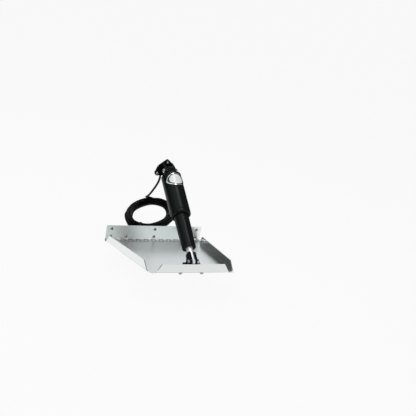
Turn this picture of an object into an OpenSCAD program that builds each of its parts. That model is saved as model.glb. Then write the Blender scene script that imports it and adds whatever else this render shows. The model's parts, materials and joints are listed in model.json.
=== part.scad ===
// Boat trim tab: hinged stainless blade worked by an electric screw actuator. Millimetres, +Z up.
// Origin: centre of the plate's screw pattern, on the transom face (Y = 0). The blade points aft, along -Y.

/* [Transom plate] */
// Width of the plate, and of the blade at its hinge
plate_width = 305; // [260:5:360]
// Thickness of the plate
plate_sheet = 2; // [1.5:0.5:3]
// Top edge above the middle of the screw pattern
plate_top = 22; // [18:1:30]
// Distance between the two rows of screws
row_spacing = 24; // [20:1:28]
// Outer screw columns, from the ends of the plate
column_inset = 15.5; // [12:0.5:20]
// Inner columns of the lower row, from the outer ones
column_step = 48; // [40:1:60]
// Shank of the plate and bracket screws
screw_d = 5; // [4:0.5:6]
// Length of their shanks behind the transom face
screw_reach = 25; // [15:1:40]

/* [Hinge] */
// Hinge axis below the middle of the screw pattern
hinge_drop = 24; // [22:1:30]
// Outer diameter of the knuckles
knuckle_d = 7; // [6.5:0.5:9]
// Number of knuckles, odd
knuckle_count = 25; // [15:2:31]
// Diameter of the hinge pin
hinge_pin_d = 4; // [3:0.5:4]
// Angle that the blade is raised with the ram fully in
rest_angle = 7; // [4:1:9]

/* [Blade] */
// Hinge axis to the outer face of the trailing flange
blade_length = 297; // [285:1:305]
// Width at the trailing edge
trailing_width = 256; // [230:2:300]
// Thickness of the sheet
sheet = 2.5; // [2:0.5:3]
// Inner radius of the folds
bend_radius = 2.5; // [1.5:0.5:4]
// Height of the flanges over the underside
flange_height = 24.5; // [20:0.5:26]
// Radius of the two free corners
corner_radius = 12; // [6:1:14]

/* [Brackets] */
// Upper pivot, out from the transom face
upper_pin_out = 30; // [28:1:34]
// Upper pivot, above the middle of the screw pattern
upper_pin_up = 207; // [202:1:212]
// Lower pivot, forward of the trailing flange's outer face
lower_pin_inset = 13; // [12:1:17]
// Lower pivot, above the hinge axis
lower_pin_up = 24.5; // [23:0.5:28]
// Diameter of both pivot bolts
pivot_d = 8; // [6:0.5:8]
// Clearance of the ram's eye round its bolt
eye_clearance = 0.9; // [0.8:0.1:1.2]
// Thickness of the gasket behind the upper bracket
gasket_t = 1.5; // [1:0.5:3]

/* [Actuator] */
// Diameter of the motor housing
housing_d = 58; // [58:0.5:62]
// Tube diameter below the housing
tube_top_d = 42.5; // [41:0.5:44]
// Tube diameter at its mouth
tube_end_d = 38.5; // [37:0.5:40]
// Diameter of the ram
ram_d = 19.5; // [18:0.5:20]
// Thickness of the ram's flattened end
tang_t = 7.5; // [7:0.5:9]
// Diameter of the lead screw
lead_screw_d = 10; // [8:0.5:10]
// Half width of the nameplate with its rim, seen from the front
label_half_width = 26; // [24:0.5:26.5]
// Half height of the nameplate with its rim
label_half_height = 21; // [18:0.5:22]

/* [Cable] */
// Diameter of the cable
cable_d = 6.6; // [5:0.2:7]
// Thickness of the coil's bundle
bundle_d = 26; // [22:1:28]
// Half length of the coil, to the middle of the bundle
coil_half_length = 133; // [110:1:140]
// Half width of the coil, to the middle of the bundle
coil_half_width = 63; // [55:1:70]

/* [Hidden] */
// Shared clearances
run_fit = 0.05;
seat = 0.02;
side_gap = 0.3;
hole_gap = 0.3;
neck_gap = 0.2;
over = 1;

// Hinge and blade
knuckle_r = knuckle_d / 2;
knuckle_pitch = plate_width / knuckle_count;
knuckle_gap = 0.5;
edge_gap = knuckle_r + 0.7;
bend_out = bend_radius + sheet;
half_w = plate_width / 2;
outer_column = half_w - column_inset;
inner_column = outer_column - column_step;
taper = (plate_width - trailing_width) / 2 / blade_length;
edge_angle = atan(taper);
inset = bend_out / cos(edge_angle);
blade_top = sheet - knuckle_r;
side_ends = [5, 27, blade_length - 13, blade_length - 40];
trail_ends = [18, 34.7];

// Actuator's line, from the lower pivot to the upper pivot
lower_pin_aft = blade_length - lower_pin_inset;
lower_pin_y = -knuckle_r - lower_pin_aft * cos(rest_angle) + lower_pin_up * sin(rest_angle);
lower_pin_z = -hinge_drop + lower_pin_aft * sin(rest_angle) + lower_pin_up * cos(rest_angle);
span_y = -upper_pin_out - lower_pin_y;
span_z = upper_pin_up - lower_pin_z;
lean = atan2(span_y, span_z);
pin_span = norm([span_y, span_z]);

// Heights along the actuator, counted up from the lower pivot or down from the upper one
cap_height = 25.5;
housing_length = 134;
spigot_length = 10;
collar_rise = 4;
plate_rise = 30;
plate_t = 8;
gearhead_length = 22;
cushion_t = 8;
nut_length = 32;
nut_gap = 4;
nut_grip = 10;
screw_past_nut = 55;
tang_end = 28;
mouth = 43;
wiper_t = 5.5;
bush_length = 19;
label_drop = 23.5;
cap_from = pin_span - cap_height;
spigot_from = cap_from - spigot_length;
shoulder = cap_from - housing_length;
collar_from = shoulder + collar_rise;
plate_from = shoulder + plate_rise;
gear_from = plate_from + plate_t;
motor_from = gear_from + gearhead_length;
motor_to = spigot_from - cushion_t;
motor_length = motor_to - motor_from;
nut_to = plate_from - nut_gap;
nut_from = nut_to - nut_length;
screw_end = nut_from - screw_past_nut;
bush_from = mouth + wiper_t;
bush_to = bush_from + bush_length;
label_at = cap_from - label_drop;

// Housing and what is in it
housing_bore = housing_d - 6;
insert_d = housing_bore - 2 * run_fit;
shoulder_r = 6;
groove_rise = 11;
groove_width = 2.2;
groove_depth = 1;
ring_slot = 3;
ring_d = 1.9;
ring_r = housing_bore / 2 - 1.02;
collar_seat = 1.5;
tube_bore = 29;
nut_d = tube_bore - 1;
bush_wall = 2.5;
wiper_wall = 3.5;
label_t = 0.6;
rim_t = 1;
rim_width = 2;
plate_gap = 0.1;
oval_steps = 60;
bearing_d = 22;
bearing_at = 3;
bearing_t = 2.4;
thrust_at = 5.7;
thrust_d = 20;
thrust_t = 1.9;
shaft_d = lead_screw_d - 2;
shaft_length = 8;
motor_d = housing_bore - 8;
boss_d = 14;
boss_h = 3;
cushion_d = housing_bore - 10;

// Top cap
cap_rim = 4;
cap_slope = 5;
cap_top_d = housing_d - 16;
lug_r = 13;
lug_half = 9;
bush_d = 12;
bush_flange_d = 18;
bush_flange_t = 1;

// Pivot bolts and nuts
bolt_head_d = 1.6 * pivot_d;
bolt_crown_d = 1.15 * pivot_d;
bolt_rim_h = 3;
bolt_crown_h = 1.5;
bolt_socket = 5.8;
bolt_socket_h = 2.5;
bolt_past = 2;
pivot_nut_flats = 13;
pivot_nut_h = 6.5;

// Brackets
upper_base_t = 6.5;
upper_face = gasket_t + upper_base_t;
upper_screw_half = 26.5;
upper_screw_low = upper_pin_up - 16;
upper_screw_rise = 33;
base_foot_r = 7.5;
base_nose_r = 4;
base_nose_up = 38.5;
base_disc_r = 31.5;
base_disc_up = 3;
base_low = 6.5;
upper_ear_in = 10.3;
upper_ear_t = 5.7;
upper_ear_out = upper_ear_in + upper_ear_t;
upper_ear_r = 11;
upper_ear_root = [upper_pin_out - upper_face + over, -20, 17];
gland_z = upper_pin_up - 3;
gland_d = 12;
gland_shank = 16;
gland_end = 24;
gland_head_d = 18;
gland_head_t = 3;
lower_bolt_d = 6;
lower_bolt_half = 32;
lower_bolt_rise = 37;
lower_base_t = 6;
lower_ear_in = tang_t / 2 + side_gap;
lower_ear_t = 6.5;
lower_ear_out = lower_ear_in + lower_ear_t;
lower_lean = lean - rest_angle;
lower_foot_r = 7;
lower_foot = blade_top + lower_base_t - over - lower_pin_up;
eye_r = ram_d / 2;
ear_r = 9.5;
ear_half = 11;
ear_reach = tang_end - 1;
ear_aft = 7;
ear_fore = 18;
saddle_half = 26;
saddle_t = 15;
saddle_drop = 3;
relief_d = 17;
lower_nut_flats = 10;
lower_nut_h = 5.5;

// Coil: four arcs that make an oval
coil_center = [57, 186];
coil_turn = 57;
tie_t = 1.5;
tie_width = 5;
tie_places = [[0, -coil_half_width, 0], [-coil_half_length, 0, 90]];
tie_gap = 0.3;
coil_steps = 12;
coil_z = -hinge_drop - knuckle_r + bundle_d / 2 + tie_t;
coil_end_r = 38;
coil_side_r = (coil_half_length * coil_half_length + coil_half_width * coil_half_width
    - 2 * coil_half_length * coil_end_r) / (2 * (coil_half_width - coil_end_r));
coil_end_x = coil_half_length - coil_end_r;
coil_side_y = coil_side_r - coil_half_width;
coil_side_angle = atan(coil_end_x / coil_side_y);

// Route of the cable, gland to coil, and of its tail, coil to plug
lead_route = [[0, 24, 204], [0, 30, 203.5], [1, 40, 199], [5, 50, 188], [12, 60, 173], [21, 76, 154],
    [29, 98, 131], [35, 124, 107], [40, 152, 83], [46, 182, 60], [53, 212, 41], [61, 242, 26], [70, 268, 15],
    [80, 288, 8], [91, 299, 3], [102, 304, -1], [113, 304, -4], [124, 300, -8]];
tail_route = [[20, 66, -18], [10, 60, -20], [-4, 57, -22], [-18, 57, -23], [-33, 61, -23], [-44, 62, -23]];
tube_sides = 12;

// Plug
plug_neck = 8;
plug_size = [9, 16, 22];
contact_size = [0.8, 4, 10];
contact_pitch = 8;
slot_size = [2, 6, 12];

$fn = 64;

// Half width of the blade's outline at a distance from the hinge
function outline(u) = half_w - taper * u;

// Frames
module at_hinge() translate([0, -knuckle_r, -hinge_drop]) rotate([-rest_angle, 0, 0]) children();
module on_axis() translate([0, lower_pin_y, lower_pin_z]) rotate([-lean, 0, 0]) children();
module at_lower_pin() at_hinge() translate([0, -lower_pin_aft, lower_pin_up]) children();
module at_upper_pin() translate([0, -upper_pin_out, upper_pin_up]) children();
module along_x() rotate([0, 90, 0]) children();
module into_boat() rotate([-90, 0, 0]) children();
module side_plate(t) rotate([90, 0, 90]) linear_extrude(t) children();

// Screw with a domed, cross-slotted head below z = 0: a thinner neck through what it holds, then the shank
module round_screw(d, grip, reach) {
    head_d = 1.9 * d;
    head_h = 0.66 * d;
    ball_r = (head_d * head_d / 4 + head_h * head_h) / (2 * head_h);
    difference() {
        union() {
            cylinder(d = d - 2 * neck_gap, h = grip + over);
            translate([0, 0, grip]) cylinder(d = d, h = reach);
            intersection() {
                translate([0, 0, ball_r - head_h]) sphere(ball_r);
                translate([0, 0, -head_h]) cylinder(d = head_d, h = head_h);
            }
        }
        for (a = [0, 90])
            rotate([0, 0, a]) translate([-0.26 * head_d, -0.07 * head_d, -head_h - over])
                cube([0.52 * head_d, 0.14 * head_d, 0.55 * head_h + over]);
    }
}

// Hex nut with a clearance bore, standing on z = 0
module hex_nut(bore, flats, h) {
    difference() {
        cylinder(d = flats / cos(30), h = h, $fn = 6);
        translate([0, 0, -over]) cylinder(d = bore, h = h + 2 * over);
    }
}

// Triangle with round corners: two corners on y = 0, the third above them
module round_triangle(half, rise, r) {
    edge = norm([half, rise]);
    nx = r * rise / edge;
    ny = r * half / edge;
    polygon([[-half, -r], [half, -r], [half + nx, ny], [nx, rise + ny], [-nx, rise + ny], [-half - nx, ny]]);
    for (p = [[-half, 0], [half, 0], [0, rise]]) translate(p) circle(r);
}

// Oval of the nameplate
module oval(a, b) polygon([for (k = [0 : oval_steps - 1])
    [a * cos(k * 360 / oval_steps), b * sin(k * 360 / oval_steps)]]);

// Every second knuckle of the hinge, on the X axis
module knuckles(first) {
    for (i = [first : 2 : knuckle_count - 1])
        translate([-half_w + i * knuckle_pitch + knuckle_gap / 2, 0, 0]) along_x()
            cylinder(d = knuckle_d, h = knuckle_pitch - knuckle_gap);
}

// Strips that join the knuckles to their sheet
module tongues(first, size, at) {
    for (i = [first : 2 : knuckle_count - 1])
        translate([-half_w + i * knuckle_pitch + knuckle_gap / 2, at[0], at[1]])
            cube([knuckle_pitch - knuckle_gap, size[0], size[1]]);
}

module hinge_bore() along_x()
    cylinder(d = hinge_pin_d + 2 * run_fit, h = plate_width + 2 * over, center = true);

module screw_places() {
    for (x = [-outer_column, 0, outer_column])
        translate([x, -plate_sheet, row_spacing / 2]) into_boat() children();
    for (x = [-outer_column, -inner_column, 0, inner_column, outer_column])
        translate([x, -plate_sheet, -row_spacing / 2]) into_boat() children();
}

module upper_screw_places(y) {
    for (p = [[-upper_screw_half, 0], [upper_screw_half, 0], [0, upper_screw_rise]])
        translate([p[0], y, upper_screw_low + p[1]]) into_boat() children();
}

module lower_bolt_places(z) {
    for (p = [[-lower_bolt_half, 0], [lower_bolt_half, 0], [0, lower_bolt_rise]])
        translate([p[0], p[1] - lower_pin_aft, z]) children();
}

module transom_plate() color([0.72, 0.75, 0.74]) difference() {
    union() {
        translate([-half_w, -plate_sheet, edge_gap - hinge_drop])
            cube([plate_width, plate_sheet, plate_top + hinge_drop - edge_gap]);
        translate([0, -knuckle_r, -hinge_drop]) knuckles(0);
        tongues(0, [plate_sheet, edge_gap + over], [-plate_sheet, -hinge_drop]);
    }
    translate([0, -knuckle_r, -hinge_drop]) hinge_bore();
    screw_places() translate([0, 0, -over])
        cylinder(d = screw_d + 2 * hole_gap, h = plate_sheet + 2 * over);
}

module hinge_pin() color([0.6, 0.62, 0.62]) translate([0, -knuckle_r, -hinge_drop]) along_x()
    cylinder(d = hinge_pin_d, h = plate_width - knuckle_gap, center = true);

module transom_screws() color([0.8, 0.8, 0.78]) screw_places()
    round_screw(screw_d, plate_sheet, screw_reach);

// Profile of a fold: quarter bend and upright leg, outer face on x = 0 and underside on y = 0
module fold_profile() {
    intersection() {
        translate([-bend_out, bend_out]) difference() {
            circle(bend_out);
            circle(bend_radius);
        }
        translate([-bend_out, 0]) square(bend_out);
    }
    translate([-bend_out - over, 0]) square([over, sheet]);
    translate([-sheet, bend_out]) square([sheet, flange_height - bend_out]);
}

// Folded flange that runs aft along an edge, with slanted ends given as low and high places
module flange(low_a, high_a, high_b, low_b) {
    rise_a = (high_a - low_a) / flange_height;
    rise_b = (low_b - high_b) / flange_height;
    rotate([90, 0, 0]) intersection() {
        translate([0, 0, low_a - over]) linear_extrude(low_b - low_a + 2 * over) fold_profile();
        translate([-bend_out - 2 * over, 0, 0]) along_x() linear_extrude(bend_out + 3 * over) polygon([
            [rise_a * over - low_a, -over], [-high_a - rise_a * over, flange_height + over],
            [-high_b + rise_b * over, flange_height + over], [-low_b - rise_b * over, -over]]);
    }
}

module side_flange() translate([half_w, 0, -knuckle_r]) rotate([0, 0, -edge_angle])
    flange(side_ends[0], side_ends[1], side_ends[3], side_ends[2]);

module trailing_flange() translate([trailing_width / 2, -blade_length, -knuckle_r]) rotate([0, 0, -90])
    flange(trail_ends[0], trail_ends[1], trailing_width - trail_ends[1], trailing_width - trail_ends[0]);

// Free corner of the sheet, outside the folds
module corner_pad() {
    center = [outline(blade_length - corner_radius) - corner_radius / cos(edge_angle),
        corner_radius - blade_length];
    from = side_ends[2];
    tip = outline(blade_length);
    difference() {
        polygon([[outline(from) - inset - over, -from], [outline(from), -from], [tip, -blade_length],
            [tip - trail_ends[0], -blade_length], [tip - trail_ends[0], bend_out + over - blade_length]]);
        difference() {
            polygon([center, center + corner_radius * [cos(edge_angle), -sin(edge_angle)],
                [tip + over, -blade_length - over], [center[0], -blade_length - over]]);
            translate(center) circle(corner_radius);
        }
    }
}

module blade_sheet() {
    end = blade_length - bend_out;
    polygon([[-half_w + inset, -edge_gap], [half_w - inset, -edge_gap], [outline(end) - inset, -end],
        [inset - outline(end), -end]]);
    corner_pad();
    mirror([1, 0]) corner_pad();
}

module tab_blade() color([0.78, 0.8, 0.78]) at_hinge() difference() {
    union() {
        translate([0, 0, -knuckle_r]) linear_extrude(sheet) blade_sheet();
        side_flange();
        mirror([1, 0, 0]) side_flange();
        trailing_flange();
        knuckles(1);
        tongues(1, [edge_gap + over, sheet], [-edge_gap - over, -knuckle_r]);
    }
    hinge_bore();
    lower_bolt_places(-knuckle_r - over) cylinder(d = lower_bolt_d + 2 * hole_gap, h = sheet + 2 * over);
}

// Point where a line from p touches a circle of radius r round the origin, on one side
function touch(p, r, side) = let (a = atan2(p[1], p[0]) + side * acos(r / norm(p))) r * [cos(a), sin(a)];

module upper_ear() translate([-upper_pin_out, upper_pin_up]) {
    low = [upper_ear_root[0], upper_ear_root[1]];
    high = [upper_ear_root[0], upper_ear_root[2]];
    circle(upper_ear_r);
    polygon([low, touch(low, upper_ear_r, -1), touch(high, upper_ear_r, 1), high]);
}

// Outline of the upper bracket's base: a disc with a flat foot, a lobe at each lower screw and a pointed nose
module bracket_outline(grow) {
    nose = base_nose_up - base_disc_up;
    slant = asin((base_disc_r - base_nose_r) / nose);
    side = [cos(slant), sin(slant)];
    left = [-side[0], side[1]];
    intersection() {
        translate([0, base_disc_up]) circle(base_disc_r + grow);
        translate([-base_disc_r - over, -base_low - grow])
            square([2 * base_disc_r + 2 * over, 2 * base_disc_r]);
    }
    for (s = [-1, 1]) translate([s * upper_screw_half, 0]) circle(base_foot_r + grow);
    translate([0, base_nose_up]) circle(base_nose_r + grow);
    translate([0, base_disc_up]) polygon([[0, 0], (base_disc_r + grow) * side,
        [0, nose] + (base_nose_r + grow) * side, [0, nose] + (base_nose_r + grow) * left,
        (base_disc_r + grow) * left]);
}

module upper_bracket() color([0.06, 0.06, 0.06]) difference() {
    union() {
        translate([0, -gasket_t, upper_screw_low]) rotate([90, 0, 0]) linear_extrude(upper_base_t)
            bracket_outline(0);
        translate([upper_ear_in, 0, 0]) side_plate(upper_ear_t) upper_ear();
        translate([-upper_ear_out, 0, 0]) side_plate(upper_ear_t) upper_ear();
    }
    upper_screw_places(-upper_face - over) cylinder(d = screw_d + 2 * hole_gap, h = upper_base_t + 2 * over);
    at_upper_pin() along_x() cylinder(d = pivot_d + 2 * run_fit, h = 3 * upper_ear_out, center = true);
    translate([0, -upper_face - over, gland_z]) into_boat()
        cylinder(d = gland_d + 2 * hole_gap, h = upper_base_t + 2 * over);
}

module bracket_gasket() color([0.1, 0.1, 0.1]) difference() {
    translate([0, 0, upper_screw_low]) rotate([90, 0, 0]) linear_extrude(gasket_t) bracket_outline(-0.5);
    upper_screw_places(-gasket_t - over) cylinder(d = screw_d + 2 * hole_gap, h = gasket_t + 2 * over);
    translate([0, -gasket_t - over, gland_z]) into_boat()
        cylinder(d = gland_d + 2 * hole_gap, h = gasket_t + 2 * over);
}

module upper_bracket_screws() color([0.8, 0.8, 0.78]) upper_screw_places(-upper_face)
    round_screw(screw_d, upper_face, screw_reach);

// Button-head bolt along +X with its head's seat at x = 0, for a nut that starts at a given place
module pivot_bolt(nut_at) along_x() difference() {
    head_h = bolt_rim_h + bolt_crown_h;
    union() {
        cylinder(d = pivot_d, h = nut_at + pivot_nut_h + bolt_past);
        translate([0, 0, -bolt_rim_h]) cylinder(d = bolt_head_d, h = bolt_rim_h);
        translate([0, 0, -head_h]) cylinder(d1 = bolt_crown_d, d2 = bolt_head_d, h = bolt_crown_h);
    }
    translate([0, 0, -head_h - over]) cylinder(d = bolt_socket, h = bolt_socket_h + over, $fn = 6);
}

module pivot_nut() along_x() hex_nut(pivot_d + 2 * run_fit, pivot_nut_flats, pivot_nut_h);

module upper_pivot_bolt() color([0.8, 0.8, 0.78]) at_upper_pin() translate([-upper_ear_out, 0, 0])
    pivot_bolt(2 * upper_ear_out);

module upper_pivot_nut() color([0.75, 0.75, 0.74]) at_upper_pin() translate([upper_ear_out, 0, 0])
    pivot_nut();

module cable_gland() color([0.12, 0.12, 0.12]) translate([0, 0, gland_z]) into_boat() {
    translate([0, 0, -upper_face - gland_head_t]) cylinder(d = gland_head_d, h = gland_head_t);
    translate([0, 0, -upper_face]) cylinder(d = gland_d - 2 * neck_gap, h = upper_face + over);
    cylinder(d = gland_d, h = gland_shank);
    translate([0, 0, gland_shank]) cylinder(d1 = gland_d, d2 = cable_d + 2, h = gland_end - gland_shank);
}

// Round tube along a line of points, open or closed to a loop
function unit(v) = v / norm(v);
function heading(p, i, loop) = let (n = len(p)) unit(loop
    ? p[(i + 1) % n] - p[(i + n - 1) % n] : p[min(i + 1, n - 1)] - p[max(i - 1, 0)]);
function ring(c, t, r) = let (s = unit(cross(t, [0.3, 0, 1])), n = cross(s, t), step = 360 / tube_sides)
    [for (k = [0 : tube_sides - 1]) c + r * (cos(k * step) * s + sin(k * step) * n)];

module tube(p, r, loop = false) {
    last = len(p) - 1;
    caps = [[for (k = [0 : tube_sides - 1]) k],
        [for (k = [tube_sides - 1 : -1 : 0]) last * tube_sides + k]];
    polyhedron(
        points = [for (i = [0 : last]) each ring(p[i], heading(p, i, loop), r)],
        faces = concat(loop ? [] : caps,
            [for (i = [0 : loop ? last : last - 1], k = [0 : tube_sides - 1])
                let (a = i * tube_sides, b = (i + 1) % len(p) * tube_sides, m = (k + 1) % tube_sides)
                [a + k, b + k, b + m, a + m]]));
}

// Points of a route with one more between each two, on a smooth curve
function between(a, b, c, d, t) = 0.5 * (2 * b + (c - a) * t + (2 * a - 5 * b + 4 * c - d) * t * t
    + (3 * b - a - 3 * c + d) * t * t * t);
function smooth(p) = concat([for (i = [0 : len(p) - 2], t = [0, 0.5])
    between(p[max(i - 1, 0)], p[i], p[i + 1], p[min(i + 2, len(p) - 1)], t)], [p[len(p) - 1]]);

module cable_lead() color([0.07, 0.07, 0.07]) tube(smooth(lead_route), cable_d / 2);
module cable_tail() color([0.07, 0.07, 0.07]) tube(smooth(tail_route), cable_d / 2);

// Coil of the cable: a bundle along an oval of four arcs
function coil_arc(center, r, from, to) = [for (k = [0 : coil_steps - 1])
    let (a = from + (to - from) * k / coil_steps) [center[0] + r * cos(a), center[1] + r * sin(a), 0]];
function coil_line() = let (side = coil_side_angle) concat(
    coil_arc([coil_end_x, 0], coil_end_r, side - 90, 90 - side),
    coil_arc([0, -coil_side_y], coil_side_r, 90 - side, 90 + side),
    coil_arc([-coil_end_x, 0], coil_end_r, 90 + side, 270 - side),
    coil_arc([0, coil_side_y], coil_side_r, 270 - side, 270 + side));

module at_coil() translate([coil_center[0], coil_center[1], coil_z]) rotate([0, 0, coil_turn]) children();

module cable_coil() color([0.07, 0.07, 0.07]) at_coil() tube(coil_line(), bundle_d / 2, loop = true);

module coil_ties() color([0.15, 0.15, 0.15]) at_coil() for (p = tie_places)
    translate([p[0], p[1], 0]) rotate([0, 0, p[2]]) along_x() difference() {
        cylinder(d = bundle_d + 2 * tie_t, h = tie_width, center = true);
        cylinder(d = bundle_d + 2 * tie_gap, h = tie_width + 2 * over, center = true);
    }

module at_plug() translate(tail_route[len(tail_route) - 1]) rotate([0, -90, 0]) children();

// A block centred on the plug's line, from a place along it
module plug_block(size, aside, at) translate([-size[0] / 2, aside - size[1] / 2, at]) cube(size);

module plug_body() color([0.1, 0.1, 0.1]) at_plug() difference() {
    plug_end = plug_neck + plug_size[2];
    union() {
        cylinder(d = cable_d + 2, h = plug_neck);
        plug_block(plug_size, 0, plug_neck);
    }
    for (s = [-1, 1]) plug_block(slot_size + [0, 0, over], s * contact_pitch / 2, plug_end - slot_size[2]);
}

module plug_contacts() color([0.75, 0.6, 0.3]) at_plug() for (s = [-1, 1])
    plug_block(contact_size, s * contact_pitch / 2, plug_neck + plug_size[2] - slot_size[2]);

// Side shape of one lower ear, round the pivot: boss, strap along the ram, and leg to the base
function on_strap(along, aside) = [along * sin(lower_lean) + aside * cos(lower_lean),
    along * cos(lower_lean) - aside * sin(lower_lean)];
module lower_ear() {
    circle(ear_r);
    intersection() {
        rotate(-lower_lean) translate([-ear_half, -over]) square([2 * ear_half, ear_reach + 2 * over]);
        circle(ear_reach);
    }
    polygon([[-ear_aft, lower_foot], [-ear_r, 0], on_strap(ear_r / 2, 0),
        on_strap(ear_reach - 8, ear_half - 1), [ear_fore, lower_foot]]);
}

module lower_bracket() color([0.06, 0.06, 0.06]) at_hinge() difference() {
    union() {
        translate([0, -lower_pin_aft, blade_top]) linear_extrude(lower_base_t)
            round_triangle(lower_bolt_half, lower_bolt_rise, lower_foot_r);
        translate([0, -lower_pin_aft, lower_pin_up]) {
            translate([lower_ear_in, 0, 0]) side_plate(lower_ear_t) lower_ear();
            translate([-lower_ear_out, 0, 0]) side_plate(lower_ear_t) lower_ear();
            for (s = [0, 1]) mirror([s, 0, 0]) translate([lower_ear_out - over, -saddle_t / 2, lower_foot])
                cube([saddle_half - lower_ear_out + over, saddle_t, -saddle_drop - lower_foot]);
        }
    }
    translate([0, -lower_pin_aft, lower_pin_up]) {
        along_x() cylinder(d = pivot_d + 2 * run_fit, h = 4 * lower_ear_out, center = true);
        for (s = [0, 1]) mirror([s, 0, 0]) translate([lower_ear_out, 0, 0]) along_x()
            cylinder(d = relief_d, h = saddle_half);
    }
    lower_bolt_places(blade_top - over)
        cylinder(d = lower_bolt_d + 2 * hole_gap, h = lower_base_t + 2 * over);
}

module lower_bracket_bolts() color([0.8, 0.8, 0.78]) at_hinge() lower_bolt_places(blade_top + lower_base_t)
    mirror([0, 0, 1]) round_screw(lower_bolt_d, lower_base_t + sheet, 8);

module lower_bracket_nuts() color([0.6, 0.6, 0.58]) at_hinge() lower_bolt_places(-knuckle_r)
    mirror([0, 0, 1]) hex_nut(lower_bolt_d + 2 * run_fit, lower_nut_flats, lower_nut_h);

module lower_pivot_bolt() color([0.85, 0.85, 0.84]) at_lower_pin() translate([-lower_ear_out, 0, 0])
    pivot_bolt(2 * lower_ear_out);

module lower_pivot_nut() color([0.8, 0.8, 0.78]) at_lower_pin() translate([lower_ear_out, 0, 0])
    pivot_nut();

// Outline of the housing for turning: round lower shoulder and a groove above it
module housing_profile() {
    r = housing_d / 2;
    difference() {
        translate([0, shoulder]) square([r, housing_length]);
        difference() {
            translate([r - shoulder_r, shoulder - over]) square(shoulder_r + over);
            translate([r - shoulder_r, shoulder + shoulder_r]) circle(shoulder_r);
        }
        translate([r - groove_depth, shoulder + groove_rise]) square([groove_depth + over, groove_width]);
        translate([0, collar_from]) square([housing_bore / 2, cap_from - collar_from + over]);
        translate([0, shoulder - over]) square([tube_top_d / 2 + seat, collar_rise + 2 * over]);
    }
}

module motor_housing() color([0.07, 0.07, 0.07]) on_axis() rotate_extrude() housing_profile();

// Thin skin of the housing's front inside an outline
module on_front(t) intersection() {
    difference() {
        cylinder(d = housing_d + 2 * t, h = cap_from);
        translate([0, 0, -over]) cylinder(d = housing_d + 2 * seat, h = cap_from + 2 * over);
    }
    translate([0, 0, label_at]) rotate([90, 0, 0]) linear_extrude(housing_d) children();
}

module nameplate() color([0.9, 0.9, 0.9]) on_axis() on_front(label_t)
    oval(label_half_width - rim_width - plate_gap, label_half_height - rim_width - plate_gap);

module nameplate_bezel() color([0.8, 0.8, 0.8]) on_axis() on_front(rim_t) difference() {
    oval(label_half_width, label_half_height);
    oval(label_half_width - rim_width, label_half_height - rim_width);
}

// Slot for a sealing ring round a spigot of the housing's bore, and the ring
module ring_groove(at) translate([0, 0, at]) rotate_extrude()
    translate([housing_bore / 2 - 2, -ring_slot / 2]) square(ring_slot);
module sealing_ring(at) translate([0, 0, at]) rotate_extrude() translate([ring_r, 0]) circle(d = ring_d);

module top_cap() color([0.07, 0.07, 0.07]) on_axis() difference() {
    union() {
        translate([0, 0, cap_from]) cylinder(d = housing_d, h = cap_rim);
        translate([0, 0, cap_from + cap_rim]) cylinder(d1 = housing_d, d2 = cap_top_d, h = cap_slope);
        translate([0, 0, spigot_from]) cylinder(d = insert_d, h = spigot_length);
        translate([-lug_half, -lug_r, cap_from + cap_rim])
            cube([2 * lug_half, 2 * lug_r, cap_height - cap_rim]);
        translate([0, 0, pin_span]) along_x() cylinder(r = lug_r, h = 2 * lug_half, center = true);
    }
    translate([0, 0, pin_span]) along_x() cylinder(d = bush_d + 2 * seat, h = 4 * lug_half, center = true);
    ring_groove(cap_from - spigot_length / 2);
}

module cap_oring() color([0.05, 0.05, 0.05]) on_axis() sealing_ring(cap_from - spigot_length / 2);

module pivot_bushes() color([0.85, 0.83, 0.75]) on_axis() translate([0, 0, pin_span]) for (s = [0, 1])
    mirror([s, 0, 0]) along_x() difference() {
        union() {
            translate([0, 0, over]) cylinder(d = bush_d, h = lug_half - over);
            translate([0, 0, lug_half]) cylinder(d = bush_flange_d, h = bush_flange_t);
        }
        cylinder(d = pivot_d + 2 * run_fit, h = 2 * lug_half);
    }

module lower_tube() color([0.07, 0.07, 0.07]) on_axis() difference() {
    union() {
        translate([0, 0, mouth]) cylinder(d1 = tube_end_d, d2 = tube_top_d, h = shoulder - mouth);
        translate([0, 0, shoulder]) cylinder(d = tube_top_d, h = plate_rise);
        translate([0, 0, collar_from + collar_seat])
            cylinder(d = insert_d, h = plate_from - collar_from - collar_seat);
    }
    translate([0, 0, mouth - over])
        cylinder(d = ram_d + 2 * (wiper_wall + seat), h = wiper_t + over);
    translate([0, 0, bush_from - over])
        cylinder(d = ram_d + 2 * (bush_wall + seat), h = bush_length + over);
    translate([0, 0, bush_to]) cylinder(d = tube_bore, h = pin_span);
    ring_groove((collar_from + collar_seat + plate_from) / 2);
}

module tube_oring() color([0.05, 0.05, 0.05]) on_axis()
    sealing_ring((collar_from + collar_seat + plate_from) / 2);

// Round sleeve that stands on z = 0
module sleeve(bore, d, h) difference() {
    cylinder(d = d, h = h);
    translate([0, 0, -over]) cylinder(d = bore, h = h + 2 * over);
}

module guide_bush() color([0.85, 0.83, 0.75]) on_axis() translate([0, 0, bush_from])
    sleeve(ram_d + 2 * run_fit, ram_d + 2 * bush_wall, bush_length);

module wiper_seal() color([0.1, 0.1, 0.1]) on_axis() translate([0, 0, mouth])
    sleeve(ram_d + 4 * run_fit, ram_d + 2 * wiper_wall, wiper_t);

module bearing_plate() color([0.6, 0.62, 0.62]) on_axis() translate([0, 0, plate_from]) difference() {
    sleeve(lead_screw_d + 2 * run_fit, insert_d, plate_t);
    translate([0, 0, bearing_at]) cylinder(d = bearing_d, h = plate_t);
}

module thrust_bearing() color([0.7, 0.7, 0.7]) on_axis() translate([0, 0, plate_from + bearing_at])
    sleeve(lead_screw_d + 2, bearing_d - 2 * run_fit, bearing_t);

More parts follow.
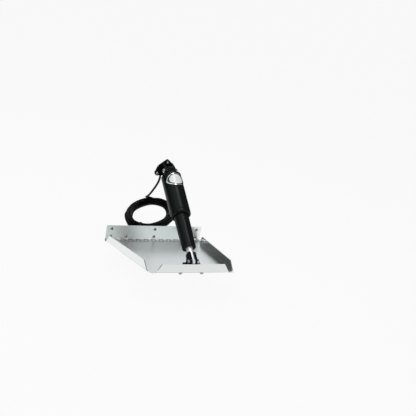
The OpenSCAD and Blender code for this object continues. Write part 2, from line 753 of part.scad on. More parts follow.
module gearhead() color([0.5, 0.5, 0.5]) on_axis() translate([0, 0, gear_from]) difference() {
    cylinder(d = insert_d, h = gearhead_length);
    translate([0, 0, -over]) cylinder(d = lead_screw_d - 1, h = shaft_length + 2 * over);
}

module motor() color([0.55, 0.56, 0.58]) on_axis() translate([0, 0, motor_from]) {
    cylinder(d = motor_d, h = motor_length - boss_h);
    translate([0, 0, motor_length - boss_h]) cylinder(d = boss_d, h = boss_h);
}

module motor_pad() color([0.2, 0.2, 0.2]) on_axis() translate([0, 0, motor_to - boss_h]) difference() {
    cylinder(d = cushion_d, h = cushion_t + boss_h);
    translate([0, 0, -over]) cylinder(d = boss_d + over, h = boss_h + over);
}

module lead_screw() color([0.7, 0.7, 0.68]) on_axis() {
    translate([0, 0, screw_end]) cylinder(d = lead_screw_d, h = gear_from - side_gap - screw_end);
    translate([0, 0, gear_from - over]) cylinder(d = shaft_d, h = shaft_length);
}

module thrust_collar() color([0.6, 0.6, 0.6]) on_axis() translate([0, 0, plate_from + thrust_at])
    sleeve(lead_screw_d + 2 * seat, thrust_d, thrust_t);

module ram_rod() color([0.85, 0.86, 0.86]) on_axis() difference() {
    union() {
        translate([0, 0, tang_end]) cylinder(d = ram_d, h = nut_from + nut_grip - tang_end);
        intersection() {
            cylinder(d = ram_d, h = tang_end + over);
            translate([-tang_t / 2, -ram_d, 0]) cube([tang_t, 2 * ram_d, tang_end + over]);
        }
        along_x() cylinder(r = eye_r, h = tang_t, center = true);
    }
    along_x() cylinder(r = pivot_d / 2 + eye_clearance, h = 2 * tang_t, center = true);
    translate([0, 0, screw_end - nut_grip]) cylinder(d = lead_screw_d + 1, h = pin_span);
}

module ram_nut() color([0.72, 0.58, 0.3]) on_axis() translate([0, 0, nut_from]) difference() {
    sleeve(lead_screw_d + 2 * run_fit, nut_d, nut_length);
    translate([0, 0, -over]) cylinder(d = ram_d + 2 * seat, h = nut_grip + over);
}

transom_plate();
hinge_pin();
transom_screws();
upper_bracket();
bracket_gasket();
upper_bracket_screws();
upper_pivot_bolt();
upper_pivot_nut();
cable_gland();
cable_lead();
cable_coil();
coil_ties();
cable_tail();
plug_body();
plug_contacts();
tab_blade();
lower_bracket();
lower_bracket_bolts();
lower_bracket_nuts();
lower_pivot_bolt();
lower_pivot_nut();
motor_housing();
nameplate();
nameplate_bezel();
top_cap();
cap_oring();
pivot_bushes();
lower_tube();
tube_oring();
guide_bush();
wiper_seal();
bearing_plate();
thrust_bearing();
gearhead();
motor();
motor_pad();
lead_screw();
thrust_collar();
ram_rod();
ram_nut();
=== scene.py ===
"""Looks of a boat trim tab: stainless tray, black screw actuator and coiled cable. Metres, +Z up."""

import json
import math

import bmesh
import bpy
from mathutils import Matrix, Vector

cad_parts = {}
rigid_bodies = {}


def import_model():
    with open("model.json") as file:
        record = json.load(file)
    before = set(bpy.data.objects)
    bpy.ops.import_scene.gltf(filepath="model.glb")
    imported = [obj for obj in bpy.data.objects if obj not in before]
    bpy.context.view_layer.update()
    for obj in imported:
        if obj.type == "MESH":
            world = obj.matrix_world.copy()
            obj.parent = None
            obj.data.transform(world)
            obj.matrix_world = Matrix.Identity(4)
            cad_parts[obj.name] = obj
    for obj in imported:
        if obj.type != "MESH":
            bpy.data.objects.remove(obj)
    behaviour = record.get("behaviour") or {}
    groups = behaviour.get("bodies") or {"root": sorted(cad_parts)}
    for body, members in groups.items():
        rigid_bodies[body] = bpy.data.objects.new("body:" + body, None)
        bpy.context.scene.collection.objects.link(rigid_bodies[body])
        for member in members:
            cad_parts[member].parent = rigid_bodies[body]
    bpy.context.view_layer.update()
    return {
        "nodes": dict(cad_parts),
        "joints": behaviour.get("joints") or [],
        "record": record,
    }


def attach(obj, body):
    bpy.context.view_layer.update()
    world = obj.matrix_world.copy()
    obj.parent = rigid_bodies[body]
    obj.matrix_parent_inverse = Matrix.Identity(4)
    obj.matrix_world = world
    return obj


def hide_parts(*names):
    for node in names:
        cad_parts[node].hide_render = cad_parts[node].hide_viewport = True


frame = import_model()

MM = 0.001
NODES = frame["nodes"]
JOINTS = {joint["name"]: joint for joint in frame["joints"]}
BODY_OF = {node: body for body, nodes in frame["record"]["behaviour"]["bodies"].items() for node in nodes}
SLOT_OF = {row["node"]: row["material_slot"] for row in frame["record"]["subparts"]}

SIDEWAYS = Vector((1, 0, 0))
UP = Vector((0, 0, 1))

# Hinge, upper pivot and the way up the ram, from the joints
HINGE = Vector(JOINTS["blade_swing"]["pos_m"])
UPPER_PIN = Vector(JOINTS["actuator_tilt"]["pos_m"])
UP_RAM = -Vector(JOINTS["ram_slide"]["axis"]).normalized()

# Hinge: pitch of its knuckles, radius that they reach to, half width of the painted shade in the joint
# between two, and how much of that painted shade the knuckles take
PLATE_WIDTH = 305 * MM
KNUCKLES = 25
KNUCKLE_PITCH = PLATE_WIDTH / KNUCKLES
KNUCKLE_R = (4.4 * MM, 5 * MM)
JOINT_SHADE_HALF = (0.5 * MM, 1.3 * MM)
KNUCKLE_SHADE = 0.35

# Nameplate on the housing: its middle on the actuator's line, its half width and half height, and the share
# of those at which the dark line inside its rim starts
LABEL_DOWN = 49 * MM
LABEL_AT = UPPER_PIN - UP_RAM * LABEL_DOWN
LABEL_HALF = (26 * MM, 21 * MM)
LABEL_LINE = (0.76, 0.775)

# View of the photograph; aside is how far the frame's middle lies right of the target and above it
VIEW_TARGET = Vector((0, -0.120, 0.0735))
VIEW_DISTANCE = 2.5
VIEW_AZIMUTH = math.radians(-25.487)
VIEW_ELEVATION = math.radians(20.285)
VIEW_ROLL = math.radians(10.423)
VIEW_ASIDE = (0.0998, 0.0501)
VIEW_LENS = 75.72
VIEW_END = 100
SENSOR = 36


def place_camera():
    """Camera at the photograph's viewpoint; the object lies left of and below the frame's middle."""
    level = math.cos(VIEW_ELEVATION)
    back = Vector((math.sin(VIEW_AZIMUTH) * level, -math.cos(VIEW_AZIMUTH) * level, math.sin(VIEW_ELEVATION)))
    right = Vector((math.cos(VIEW_AZIMUTH), math.sin(VIEW_AZIMUTH), 0))
    up = back.cross(right)
    leaning_right = right * math.cos(VIEW_ROLL) + up * math.sin(VIEW_ROLL)
    leaning_up = up * math.cos(VIEW_ROLL) - right * math.sin(VIEW_ROLL)
    place = VIEW_TARGET + back * VIEW_DISTANCE
    aim = VIEW_TARGET + leaning_right * VIEW_ASIDE[0] + leaning_up * VIEW_ASIDE[1]
    facing = (place - aim).normalized()
    across = leaning_up.cross(facing).normalized()
    data = bpy.data.cameras.new("camera")
    data.lens = VIEW_LENS
    data.sensor_width = SENSOR
    data.clip_end = VIEW_END
    camera = bpy.data.objects.new("camera", data)
    camera.matrix_world = Matrix.Translation(place) @ Matrix(
        (across, facing.cross(across), facing)).transposed().to_4x4()
    bpy.context.scene.collection.objects.link(camera)
    bpy.context.scene.camera = camera


# Cable: route from the gland to the coil and from the coil to the plug, in millimetres
CABLE_D = 6.6 * MM
LEAD_ROUTE = [(0, 24, 204), (0, 30, 203.5), (1, 40, 199), (5, 50, 188), (12, 60, 173), (21, 76, 154),
              (29, 98, 131), (35, 124, 107), (40, 152, 83), (46, 182, 60), (53, 212, 41), (61, 242, 26),
              (70, 268, 15), (80, 288, 8), (91, 299, 3), (102, 304, -1), (113, 304, -4)]
TAIL_ROUTE = [(10, 60, -20), (-4, 57, -22), (-18, 57, -23), (-33, 61, -23), (-44, 62, -23)]
CABLE_STEPS = 4

# Coil: an oval of four arcs, and the turns laid on it
COIL_CENTER = Vector((57, 186, 0)) * MM
COIL_TURN = math.radians(57)
COIL_HALF = (133 * MM, 63 * MM)
COIL_END_R = 38 * MM
COIL_FLOOR = -20.7 * MM
STRAND_PITCH = 6.7 * MM
ROW_RISE = 5.8 * MM
# Places of the turns in the bundle, outwards and upwards, in the order that they are laid
STRANDS = [(0.5, 3), (-0.5, 3), (-1, 2), (0, 2), (1, 2), (1.5, 1), (0.5, 1), (-0.5, 1), (-1.5, 1), (-1, 0),
           (0, 0), (1, 0)]
COIL_TURNS = 11.442
POINTS_PER_TURN = 40
# Share of a turn at which the first one moves to its next place, how much sooner each later one does, and how
# long the move is
SHIFT_FIRST = 0.95
SHIFT_STEP = 0.045
SHIFT_LENGTH = 0.09


class Oval:
    """Closed line of four arcs; a place on it is a share of its length, clockwise from its far end."""

    def __init__(self, half, end_r):
        a, b = half
        side_r = (a * a + b * b - 2 * a * end_r) / (2 * (b - end_r))
        end_x, side_y = a - end_r, side_r - b
        side = math.atan2(end_x, side_y)
        end = math.pi / 2 - side
        self.arcs = [((end_x, 0), end_r, 0, end), ((0, side_y), side_r, -end, 2 * side),
                     ((-end_x, 0), end_r, end - math.pi, 2 * end),
                     ((0, -side_y), side_r, math.pi - end, 2 * side), ((end_x, 0), end_r, end, end)]
        self.length = sum(r * sweep for _, r, _, sweep in self.arcs)

    def at(self, share):
        """Point of the line and its outward direction."""
        left = (share % 1) * self.length
        for (x, y), r, start, sweep in self.arcs:
            if left <= r * sweep:
                break
            left -= r * sweep
        angle = start - left / r
        outward = Vector((math.cos(angle), math.sin(angle), 0))
        return Vector((x, y, 0)) + outward * r, outward


def ease(t):
    """Smooth step from 0 to 1."""
    t = min(max(t, 0), 1)
    return t * t * (3 - 2 * t)


def strand_place(laid):
    """Place in the bundle after a number of turns. A turn moves on once the turn after it has left."""
    turn = min(int(laid), len(STRANDS) - 1)
    now = Vector(STRANDS[turn])
    later = Vector(STRANDS[min(turn + 1, len(STRANDS) - 1)])
    shift = SHIFT_FIRST - SHIFT_STEP * turn
    out, up = now.lerp(later, ease((laid - turn - shift) / SHIFT_LENGTH + 0.5))
    return Vector((out * STRAND_PITCH, up * ROW_RISE))


COIL = Oval(COIL_HALF, COIL_END_R)
AT_COIL = Matrix.Translation(COIL_CENTER) @ Matrix.Rotation(COIL_TURN, 4, "Z")


def coil_points():
    """Points along all the turns, from the top of the bundle to the floor."""
    count = round(COIL_TURNS * POINTS_PER_TURN)
    points = []
    for k in range(count + 1):
        laid = COIL_TURNS * k / count
        aside = strand_place(laid)
        point, outward = COIL.at(laid)
        point += outward * aside.x
        point.z = COIL_FLOOR + aside.y
        points.append(AT_COIL @ point)
    return points


def cable(on_it):
    """One curve from the gland to the plug, thick by the radius of its knots. The pieces on it that it is
    given are not used.
    """
    points = [Vector(p) * MM for p in LEAD_ROUTE] + coil_points() + [Vector(p) * MM for p in TAIL_ROUTE]
    data = bpy.data.curves.new("cable", "CURVE")
    data.dimensions = "3D"
    data.bevel_depth = 1
    data.bevel_resolution = CABLE_STEPS
    data.resolution_u = CABLE_STEPS
    spline = data.splines.new("BEZIER")
    spline.bezier_points.add(len(points) - 1)
    for knot, point in zip(spline.bezier_points, points):
        knot.co = point
        knot.radius = CABLE_D / 2
        knot.handle_left_type = knot.handle_right_type = "AUTO"
    piece = bpy.data.objects.new("cable", data)
    bpy.context.scene.collection.objects.link(piece)
    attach(piece, "transom_side")
    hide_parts("cable_lead", "cable_coil", "cable_tail")
    piece.data.materials.append(FINISHES["cable_jacket"])


class Value:
    """A socket of a node tree; arithmetic on it adds Math nodes."""

    def __init__(self, nodes, socket):
        self.nodes = nodes
        self.socket = socket

    def _math(self, operation, first, second, third=0):
        return self.nodes.node("ShaderNodeMath", {"operation": operation}, {0: first, 1: second, 2: third})

    def __add__(self, other):
        return self._math("ADD", self, other)

    def __sub__(self, other):
        return self._math("SUBTRACT", self, other)

    def __rsub__(self, other):
        return self._math("SUBTRACT", other, self)

    def __mul__(self, other):
        return self._math("MULTIPLY", self, other)

    def __truediv__(self, other):
        return self._math("DIVIDE", self, other)

    def __pow__(self, other):
        return self._math("POWER", self, other)

    def __neg__(self):
        return self * -1

    __radd__ = __add__
    __rmul__ = __mul__

    def larger(self, other):
        return self._math("MAXIMUM", self, other)

    def size(self):
        return self._math("ABSOLUTE", self, 0)

    def past_whole(self):
        """How far a number is past the nearest whole one, from -0.5 to 0.5."""
        return self._math("WRAP", self, 0.5, -0.5)

    def rise(self, low, high):
        """Smooth step from 0 at one value to 1 at the other."""
        return self.nodes.node("ShaderNodeMapRange", {"interpolation_type": "SMOOTHSTEP"},
                               {"Value": self, "From Min": low, "From Max": high})


class Nodes:
    """A node tree, with one method that makes any of its nodes."""

    def __init__(self, tree):
        self.tree = tree

    def set(self, socket, value):
        if isinstance(value, Value):
            self.tree.links.new(value.socket, socket)
        else:
            socket.default_value = value

    def node(self, kind, settings=None, inputs=None, output=0):
        made = self.tree.nodes.new(kind)
        for name, value in (settings or {}).items():
            setattr(made, name, value)
        for name, value in (inputs or {}).items():
            self.set(made.inputs[name], value)
        return Value(self, made.outputs[output])

    def parts(self, vector):
        """The x, y and z of a vector."""
        first = self.node("ShaderNodeSeparateXYZ", {}, {0: vector})
        return [Value(self, socket) for socket in first.socket.node.outputs]

    def light_path(self, kind):
        return self.node("ShaderNodeLightPath", output=kind)

    def blend(self, share, first, second):
        return self.node("ShaderNodeMixShader", {}, {0: share, 1: first, 2: second})

    def mix(self, share, dark, light):
        """Colour between two, by a share."""
        return self.node("ShaderNodeMix", {"data_type": "RGBA"}, {0: share, 6: dark, 7: light}, output=2)


SHADER_SOCKETS = {"metallic": "Metallic", "ior": "IOR", "specular": "Specular IOR Level",
                  "coat": "Coat Weight", "rough": "Roughness"}


class Finish(Nodes):
    """A material made of nodes round one Principled shader."""

    def __init__(self, name, **constants):
        self.material = bpy.data.materials.new(name)
        self.material.use_nodes = True
        super().__init__(self.material.node_tree)
        self.shader = self.tree.nodes["Principled BSDF"]
        for socket, value in constants.items():
            self.set(self.shader.inputs[SHADER_SOCKETS[socket]], value)

    def spot(self, scale=(1, 1, 1)):
        """Place on the piece, in metres, stretched by a scale."""
        place = self.node("ShaderNodeTexCoord", output="Object")
        return self.node("ShaderNodeMapping", {}, {"Vector": place, "Scale": scale})

    def noise(self, scale, detail, stretch=(1, 1, 1)):
        return self.node("ShaderNodeTexNoise", {}, {"Vector": self.spot(stretch), "Scale": scale,
                                                    "Detail": detail})

    def bump(self, height, distance, strength):
        normal = self.node("ShaderNodeBump", {}, {"Height": height, "Distance": distance,
                                                  "Strength": strength})
        self.set(self.shader.inputs["Normal"], normal)

    def colour(self, value):
        self.set(self.shader.inputs["Base Color"], value)

    def roughness(self, value):
        self.set(self.shader.inputs["Roughness"], value)

    def speckled(self, scale, detail, dark, light, rough, spread):
        """Colour and roughness that vary together over the piece, by one noise."""
        speck = self.noise(scale, detail)
        self.colour(self.mix(speck, dark, light))
        self.roughness(rough + speck * spread)
        return self.material


def rgba(red, green, blue):
    return (red, green, blue, 1)


def sheet_steel():
    """Satin stainless sheet grained along the hinge and up the side flanges; painted shade darkens the
    hinge's joints and knuckles.
    """
    finish = Finish("sheet_steel", metallic=1)
    cloud = finish.noise(scale=9, detail=3)
    tilt, _, _ = finish.parts(finish.node("ShaderNodeNewGeometry", output="Normal"))
    upright = (tilt * tilt).rise(0.3, 0.6)
    across = finish.noise(scale=60, detail=2, stretch=(1, 40, 40))
    along = finish.noise(scale=60, detail=2, stretch=(40, 40, 1))
    grain = across + upright * (along - across)
    x, y, z = finish.parts(finish.spot())
    from_pin = ((y - HINGE.y) ** 2 + (z - HINGE.z) ** 2) ** 0.5
    from_joint = ((x / KNUCKLE_PITCH + 0.5).past_whole() * KNUCKLE_PITCH).size()
    # Painted shade: the hinge's joints dark, and its knuckles partly dark
    joint = (1 - from_pin.rise(*KNUCKLE_R)) * (1 - from_joint.rise(*JOINT_SHADE_HALF)).larger(KNUCKLE_SHADE)
    steel = finish.mix(cloud, rgba(0.80, 0.835, 0.82), rgba(0.88, 0.9, 0.885))
    finish.colour(finish.mix(joint, steel, rgba(0.1, 0.11, 0.11)))
    finish.roughness(0.28 + cloud * 0.02 - upright * 0.2)
    finish.bump(grain, distance=0.02 * MM, strength=0.5)
    return finish.material


def bright_steel():
    """Polished stainless of the bolts and nuts."""
    finish = Finish("bright_steel", metallic=1)
    return finish.speckled(scale=600, detail=2, dark=rgba(0.5, 0.52, 0.51), light=rgba(0.6, 0.62, 0.61),
                           rough=0.24, spread=0.1)


def shaded_screw_steel():
    """Smoother stainless of the screws and of the nuts under the blade, painted darker than the bolts' as
    shade.
    """
    finish = Finish("shaded_screw_steel", metallic=1)
    return finish.speckled(scale=600, detail=2, dark=rgba(0.3, 0.315, 0.31), light=rgba(0.4, 0.415, 0.41),
                           rough=0.17, spread=0.08)


def ram_steel():
    """Pale ground steel of the ram."""
    finish = Finish("ram_steel", metallic=1)
    return finish.speckled(scale=500, detail=3, dark=rgba(0.86, 0.87, 0.87), light=rgba(0.93, 0.94, 0.94),
                           rough=0.45, spread=0.1)


def black_plastic():
    """Moulded black plastic with a fine spark-eroded texture and a slight green cast."""
    finish = Finish("black_plastic", ior=1.5, specular=0.17)
    grain = finish.noise(scale=2600, detail=2)
    cloud = finish.noise(scale=30, detail=3)
    finish.colour(finish.mix(cloud, rgba(0.001, 0.0022, 0.0023), rgba(0.0025, 0.005, 0.005)))
    finish.roughness(0.24 + cloud * 0.1 + grain * 0.05)
    finish.bump(grain, distance=0.04 * MM, strength=0.2)
    return finish.material


def cable_jacket():
    """Dull black jacket of the cable."""
    finish = Finish("cable_jacket", ior=1.5, specular=0.05)
    return finish.speckled(scale=120, detail=3, dark=rgba(0.001, 0.001, 0.001),
                           light=rgba(0.002, 0.0025, 0.0025), rough=0.42, spread=0.08)


def rubber():
    """Black rubber of the seals and the gasket."""
    finish = Finish("rubber", ior=1.45)
    return finish.speckled(scale=300, detail=3, dark=rgba(0.008, 0.008, 0.008),
                           light=rgba(0.016, 0.016, 0.016), rough=0.62, spread=0.15)


def bush_plastic():
    """Cream bearing plastic of the bushes."""
    finish = Finish("bush_plastic", ior=1.5)
    return finish.speckled(scale=200, detail=2, dark=rgba(0.68, 0.65, 0.55), light=rgba(0.76, 0.73, 0.64),
                           rough=0.38, spread=0.12)


def plated_steel():
    """Grey plated steel of the motor and the drive."""
    finish = Finish("plated_steel", metallic=1)
    return finish.speckled(scale=90, detail=3, dark=rgba(0.42, 0.44, 0.45), light=rgba(0.55, 0.56, 0.56),
                           rough=0.32, spread=0.15)


def bronze():
    """Bronze of the ram nut and the plug's contacts."""
    finish = Finish("bronze", metallic=1)
    return finish.speckled(scale=140, detail=3, dark=rgba(0.55, 0.36, 0.16), light=rgba(0.68, 0.47, 0.22),
                           rough=0.3, spread=0.12)


def bright_rim():
    """Bright metal of the nameplate's rim."""
    finish = Finish("bright_rim", metallic=1)
    return finish.speckled(scale=300, detail=2, dark=rgba(0.8, 0.81, 0.81), light=rgba(0.9, 0.91, 0.91),
                           rough=0.14, spread=0.08)


def plate_face():
    """Blank white nameplate with a thin dark line inside its rim."""
    finish = Finish("plate_face", ior=1.5, coat=0.4)
    x, y, z = finish.parts(finish.spot())
    across = x / LABEL_HALF[0]
    along = (y * UP_RAM.y + z * UP_RAM.z - LABEL_AT.dot(UP_RAM)) / LABEL_HALF[1]
    line = ((across * across + along * along) ** 0.5).rise(*LABEL_LINE)
    cloud = finish.noise(scale=60, detail=2)
    white = finish.mix(cloud, rgba(0.82, 0.84, 0.83), rgba(0.88, 0.89, 0.88))
    finish.colour(finish.mix(line, white, rgba(0.02, 0.025, 0.025)))
    finish.roughness(0.28 + cloud * 0.08)
    return finish.material


# Finish of each material slot, and of the pieces that take a finish other than their slot's
FINISHES = {
    "stainless_sheet": sheet_steel(), "fastener": bright_steel(), "screw": shaded_screw_steel(),
    "black_plastic": black_plastic(), "cable_jacket": cable_jacket(), "seal_rubber": rubber(),
    "bush_plastic": bush_plastic(), "ram_steel": ram_steel(), "motor_steel": plated_steel(),
    "bronze": bronze(), "contact": bronze(), "plate_face": plate_face(), "bezel": bright_rim(),
}
# The screws and the nuts under the blade take the stainless painted darker as shade
OTHER_FINISH = dict.fromkeys(("transom_screws", "upper_bracket_screws", "lower_bracket_nuts"), "screw")

# Copies of solids: how close points merge, and the angles up to which faces are one plane, edges stay as they
# are and shading is smooth
MERGE = 0.002 * MM
PLANE_ANGLE = math.radians(0.6)
EDGE_ANGLE = math.radians(28)
SMOOTH_ANGLE = math.radians(50)

# Most that the edges of each piece are rounded by, in millimetres; short edges hold a piece to less
SOFT_EDGES = {
    "transom_plate": 0.35, "tab_blade": 0.4, "upper_bracket": 1.2, "lower_bracket": 0.8, "motor_housing": 0.5,
    "top_cap": 1.2, "lower_tube": 1, "ram_rod": 0.4, "upper_pivot_bolt": 0.3, "upper_pivot_nut": 0.4,
    "lower_pivot_bolt": 0.3, "lower_pivot_nut": 0.4, "lower_bracket_nuts": 0.3, "cable_gland": 0.4,
    "lower_bracket_bolts": 0.2, "nameplate_bezel": 0.25,
}


def copied(node):
    """A bmesh of a CAD piece, with its points merged and its flat faces whole."""
    bm = bmesh.new()
    bm.from_mesh(NODES[node].data)
    bmesh.ops.remove_doubles(bm, verts=bm.verts, dist=MERGE)
    bmesh.ops.dissolve_limit(bm, angle_limit=PLANE_ANGLE, verts=bm.verts, edges=bm.edges)
    return bm


def bevel(bm, edges, width):
    bmesh.ops.bevel(bm, geom=edges, offset=width, offset_type="OFFSET", segments=2, profile=0.5,
                    affect="EDGES", clamp_overlap=True, material=-1)


def round_edges(bm, width):
    """Rounds every edge that is sharper than the limit."""
    bevel(bm, [e for e in bm.edges if len(e.link_faces) == 2 and e.calc_face_angle() > EDGE_ANGLE], width)


def stand_for(bm, node):
    """Makes the piece of a bmesh, smooth with flat faces kept flat, in place of a CAD node."""
    bmesh.ops.recalc_face_normals(bm, faces=bm.faces)
    mesh = bpy.data.meshes.new(f"{node}_piece")
    bm.to_mesh(mesh)
    bm.free()
    mesh.shade_smooth()
    mesh.set_sharp_from_angle(angle=SMOOTH_ANGLE)
    mesh.materials.append(FINISHES[OTHER_FINISH.get(node, SLOT_OF[node])])
    piece = bpy.data.objects.new(mesh.name, mesh)
    bpy.context.scene.collection.objects.link(piece)
    even = piece.modifiers.new("even_normals", "WEIGHTED_NORMAL")
    even.keep_sharp = True
    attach(piece, BODY_OF[node])
    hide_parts(node)
    return piece


def softened(node, width):
    """A copy of a CAD piece with its sharp edges rounded."""
    bm = copied(node)
    round_edges(bm, width)
    stand_for(bm, node)


# Screws: heads as in CAD, and pointed threads behind the transom face
THREAD_R = 2.5 * MM
THREAD_CORE_R = 2 * MM
THREAD_PITCH = 1.6 * MM
THREAD_LENGTH = 25 * MM
BRACKET_THREAD = 15.5 * MM
THREAD_POINT = 6 * MM
THREAD_STEPS = 18
HEAD_EDGE = 0.25 * MM
OUTER_COLUMN, INNER_COLUMN, ROW = 137 * MM, 89 * MM, 12 * MM
TRANSOM_SCREWS = [(x, ROW) for x in (-OUTER_COLUMN, 0, OUTER_COLUMN)] + [
    (x, -ROW) for x in (-OUTER_COLUMN, -INNER_COLUMN, 0, INNER_COLUMN, OUTER_COLUMN)]
BRACKET_SCREWS = [(-26.5 * MM, 191 * MM), (26.5 * MM, 191 * MM), (0, 224 * MM)]


def close(bm):
    """Fills every hole."""
    bmesh.ops.holes_fill(bm, edges=[e for e in bm.edges if e.is_boundary])


def thread(length):
    """Mesh of a right-handed ridge that winds along +Y from the transom face, to a point."""
    bm = bmesh.new()
    ridge = [bm.verts.new((0, turns * THREAD_PITCH, r))
             for turns, r in ((-1, THREAD_CORE_R), (-0.5, THREAD_R), (0, THREAD_CORE_R))]
    edges = [bm.edges.new(pair) for pair in zip(ridge, ridge[1:])]
    steps = round((length / THREAD_PITCH + 1) * THREAD_STEPS)
    bmesh.ops.spin(bm, geom=ridge + edges, axis=(0, 1, 0), angle=2 * math.pi * steps / THREAD_STEPS,
                   steps=steps, dvec=(0, THREAD_PITCH / THREAD_STEPS, 0))
    for vert in bm.verts:
        vert.co.y = min(vert.co.y, length)
        narrow = min((length - vert.co.y) / THREAD_POINT, 1)
        vert.co.x *= narrow
        vert.co.z *= narrow
    bmesh.ops.remove_doubles(bm, verts=bm.verts, dist=MERGE)
    close(bm)
    mesh = bpy.data.meshes.new("thread")
    bm.to_mesh(mesh)
    bm.free()
    return mesh


def screws(node, places, length):
    """The CAD screws cut off at the transom face, with threads in place of their plain shanks."""
    bm = copied(node)
    everything = bm.verts[:] + bm.edges[:] + bm.faces[:]
    bmesh.ops.bisect_plane(bm, geom=everything, plane_co=(0, 0, 0), plane_no=(0, 1, 0), clear_outer=True)
    close(bm)
    round_edges(bm, HEAD_EDGE)
    ridge = thread(length)
    for x, z in places:
        older = set(bm.verts)
        bm.from_mesh(ridge)
        bmesh.ops.translate(bm, verts=[v for v in bm.verts if v not in older], vec=(x, 0, z))
    bpy.data.meshes.remove(ridge)
    stand_for(bm, node)


# Ties round the coil, at shares of its length
TIE_SHARES = (0.25, 0.5)
TIE_WIDTH = 4.8 * MM
TIE_GAP = 0.1 * MM
TIE_THICKNESS = 1.3 * MM
TIE_STEPS = 72
TIE_HEAD = (5 * MM, 7.5 * MM, 6 * MM)
TIE_HEAD_ANGLE = math.radians(60)
TIE_END = (1.2 * MM, 4.2 * MM, 13 * MM)
TIE_END_OUT = 0.6 * MM
TIE_END_LAP = 1 * MM
BLOCK_EDGE = 0.12


def add_block(bm, place, size):
    """A block with rounded edges."""
    made = bmesh.ops.create_cube(bm, size=1, matrix=place @ Matrix.Diagonal((*size, 1)))
    bevel(bm, list({e for v in made["verts"] for e in v.link_edges}), BLOCK_EDGE * min(size))


def add_tie(bm, share):
    """A strap that hugs the strands where they lie, with its head and the cut end past it."""
    point, outward = COIL.at(share)
    along = UP.cross(outward)
    strands = [strand_place(turn + share) for turn in range(len(STRANDS)) if turn + share < COIL_TURNS]

    def on_bundle(angle, grow, aside=0):
        way = Vector((math.cos(angle), math.sin(angle)))
        spot = max(strands, key=way.dot) + way * (CABLE_D / 2 + grow)
        return AT_COIL @ (point + outward * spot.x + UP * (COIL_FLOOR + spot.y) + along * aside)

    corners = [(TIE_GAP, -1), (TIE_GAP, 1), (TIE_GAP + TIE_THICKNESS, 1), (TIE_GAP + TIE_THICKNESS, -1)]
    rings = [[bm.verts.new(on_bundle(2 * math.pi * k / TIE_STEPS, grow, side * TIE_WIDTH / 2))
              for grow, side in corners] for k in range(TIE_STEPS)]
    for ring, later in zip(rings, rings[1:] + rings[:1]):
        for k in range(4):
            bm.faces.new((ring[k], ring[k - 1], later[k - 1], later[k]))
    turned = AT_COIL.to_3x3()
    out = turned @ (outward * math.cos(TIE_HEAD_ANGLE) + UP * math.sin(TIE_HEAD_ANGLE))
    width = turned @ along
    axes = Matrix((out, width, out.cross(width))).transposed().to_4x4()
    head = on_bundle(TIE_HEAD_ANGLE, TIE_GAP + TIE_HEAD[0] / 2)
    add_block(bm, Matrix.Translation(head) @ axes, TIE_HEAD)
    end = head + axes.to_3x3() @ Vector((TIE_END_OUT, 0, TIE_END_LAP - (TIE_HEAD[2] + TIE_END[2]) / 2))
    add_block(bm, Matrix.Translation(end) @ axes, TIE_END)


def ties():
    """The straps round the coil, as one piece."""
    bm = bmesh.new()
    for share in TIE_SHARES:
        add_tie(bm, share)
    return stand_for(bm, "coil_ties")


# Plug: its rounded edges, and the ribs on its neck with their places, radius and width
PLUG_AT = Vector(TAIL_ROUTE[-1]) * MM
PLUG_EDGE = 0.9 * MM
PLUG_RIBS = (1.2 * MM, 3.1 * MM, 5 * MM)
PLUG_RIB_R = 4.9 * MM
PLUG_RIB_WIDTH = 1.1 * MM
PLUG_RIB_STEPS = 32


def plug():
    """The CAD plug with its edges rounded and ribs on its neck."""
    bm = copied("plug_body")
    round_edges(bm, PLUG_EDGE)
    for along in PLUG_RIBS:
        place = Matrix.Translation(PLUG_AT - SIDEWAYS * along) @ Matrix.Rotation(math.pi / 2, 4, "Y")
        bmesh.ops.create_cone(bm, cap_ends=True, segments=PLUG_RIB_STEPS, radius1=PLUG_RIB_R,
                              radius2=PLUG_RIB_R, depth=PLUG_RIB_WIDTH, matrix=place)
    return stand_for(bm, "plug_body")


# Floor: under the lowered blade. In mirror images it glows white near the object and in front of it, with a
# painted shadow under the blade. A pair gives where a part of it starts to fade and where the fade ends
FLOOR_Z = -0.09
FLOOR_HALF = 30
FLOOR_GLOW = 0.92
FLOOR_NEAR = (0.6, 1.3)
FLOOR_AHEAD = (0.25, 0.5)
FLOOR_FAR = (2.5, 4)
SHADOW_MIDDLE = -0.16
SHADOW_HALF_WIDTH = (0.14, 0.18)
SHADOW_HALF_LENGTH = (0.145, 0.175)
SHADOW_DARK = 0.97
WHITE = rgba(1, 1, 1)
FLOOR_WHITE = rgba(0.9, 0.9, 0.9)


def floor():
    """White for the camera and glowing in mirror images, with a painted shadow under the blade there; a share
    of the lit shading so that shadows stay.
    """
    bm = bmesh.new()
    bmesh.ops.create_grid(bm, x_segments=1, y_segments=1, size=FLOOR_HALF)
    bmesh.ops.translate(bm, verts=bm.verts, vec=(0, 0, FLOOR_Z))
    mesh = bpy.data.meshes.new("floor")
    bm.to_mesh(mesh)
    bm.free()
    finish = Finish("floor_white", rough=0.9)
    finish.colour(FLOOR_WHITE)
    x, y, _ = finish.parts(finish.spot())
    away = (x * x + y * y) ** 0.5
    bright = (1 - away.rise(*FLOOR_NEAR)).larger((-y).rise(*FLOOR_AHEAD) * (1 - away.rise(*FLOOR_FAR)))
    # Painted shadow under the blade, in the glow that metal mirrors
    blade_shadow = 1 - (y - SHADOW_MIDDLE).size().rise(*SHADOW_HALF_LENGTH)
    blade_shadow = blade_shadow * (1 - x.size().rise(*SHADOW_HALF_WIDTH))
    mirrored = finish.light_path("Is Glossy Ray") * bright * (1 - blade_shadow * SHADOW_DARK)
    seen = finish.light_path("Is Camera Ray").larger(mirrored)
    lit = Value(finish, finish.shader.outputs[0])
    white = finish.node("ShaderNodeEmission", {}, {"Color": WHITE})
    finish.set(finish.tree.nodes["Material Output"].inputs["Surface"],
               finish.blend(seen * FLOOR_GLOW, lit, white))
    mesh.materials.append(finish.material)
    piece = bpy.data.objects.new("floor", mesh)
    bpy.context.scene.collection.objects.link(piece)


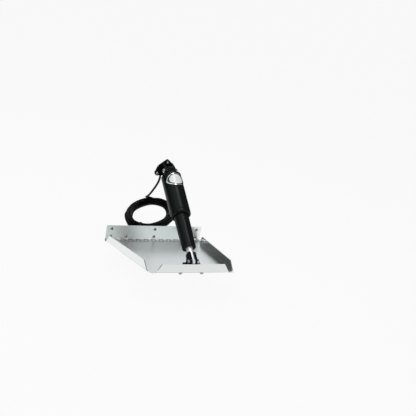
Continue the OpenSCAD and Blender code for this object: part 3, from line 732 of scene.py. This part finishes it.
# Lamps: place, aim, size and power. Only the pieces of some finishes catch the strip
OVERHEAD = {"place": (-0.36, -0.1, 1.6), "aim": (-0.1, -0.1, 0), "size": (2.3, 1.8), "power": 10}
KEY = {"place": (-0.9, -1.1, 2), "aim": (0, -0.12, 0.05), "size": (0.9, 0.9), "power": 8}
STRIP = {"place": (0.03, -0.15, 1.6), "aim": (0.03, -0.15, 0), "size": (0.25, 1.2), "power": 5}
STRIP_SLOTS = ("black_plastic", "cable_jacket", "plate_face", "bezel", "ram_steel")
STRIP_FINISHES = [FINISHES[slot] for slot in STRIP_SLOTS]

# Room: level of its dim parts, and the tint of its light
ROOM_LEVEL = 0.02
ROOM_TINT = rgba(0.95, 0.985, 1.0)


def soft_light(name, place, aim, size, power):
    """A rectangular lamp that looks at a point."""
    data = bpy.data.lights.new(name, "AREA")
    data.shape = "RECTANGLE"
    data.size, data.size_y = size
    data.energy = power
    lamp = bpy.data.objects.new(name, data)
    lamp.location = place
    lamp.rotation_euler = (Vector(aim) - Vector(place)).to_track_quat("-Z", "Y").to_euler()
    bpy.context.scene.collection.objects.link(lamp)
    return lamp


def room():
    """White for the camera; for the object a dim room with lit panels, the brightest on its right."""
    world = bpy.data.worlds.new("studio")
    bpy.context.scene.world = world
    world.use_nodes = True
    nodes = Nodes(world.node_tree)
    x, y, z = nodes.parts(nodes.node("ShaderNodeTexCoord", output="Generated"))
    high = z.rise(0.3, 0.6)
    low = 1 - high
    front = (-y).rise(0.2, 0.65)
    behind = y.rise(0.3, 0.7)
    between = (1 - front) * (1 - behind)
    right = x.rise(0, 0.35)
    not_far_right = 1 - x.rise(0.55, 0.75)
    # Where each panel is, and how bright
    panels = [(front * high, 0.12), (front * high * right, 1.15), (front * low * right, 0.62),
              (behind * high, 0.28), (behind * low * right * not_far_right, 0.92),
              (between * (-x).rise(0.3, 0.7) * z.rise(0, 0.3), 0.55),
              (between * x.rise(0.4, 0.7) * high, 0.275)]
    level = ROOM_LEVEL
    for place, strength in panels:
        level = level + place * strength
    lit = nodes.node("ShaderNodeBackground", {}, {"Color": ROOM_TINT, "Strength": level})
    white = nodes.node("ShaderNodeBackground", {}, {"Color": WHITE})
    nodes.set(world.node_tree.nodes["World Output"].inputs["Surface"],
              nodes.blend(nodes.light_path("Is Camera Ray"), lit, white))


def strip_light():
    """A narrow lamp overhead that draws a line of light on the actuator and the cable, not on the sheet."""
    lamp = soft_light("strip", **STRIP)
    caught = bpy.data.collections.new("in_strip_light")
    for piece in bpy.context.scene.objects:
        if piece.active_material in STRIP_FINISHES:
            caught.objects.link(piece)
    lamp.light_linking.receiver_collection = caught


bpy.context.scene.view_settings.view_transform = "Standard"
place_camera()
cable([plug(), NODES["plug_contacts"], ties()])
for name, piece in NODES.items():
    piece.data.materials.clear()
    piece.data.materials.append(FINISHES[SLOT_OF[name]])
for name, width in SOFT_EDGES.items():
    softened(name, width * MM)
screws("transom_screws", TRANSOM_SCREWS, THREAD_LENGTH)
screws("upper_bracket_screws", BRACKET_SCREWS, BRACKET_THREAD)
floor()
room()
strip_light()
soft_light("overhead", **OVERHEAD)
soft_light("key", **KEY)
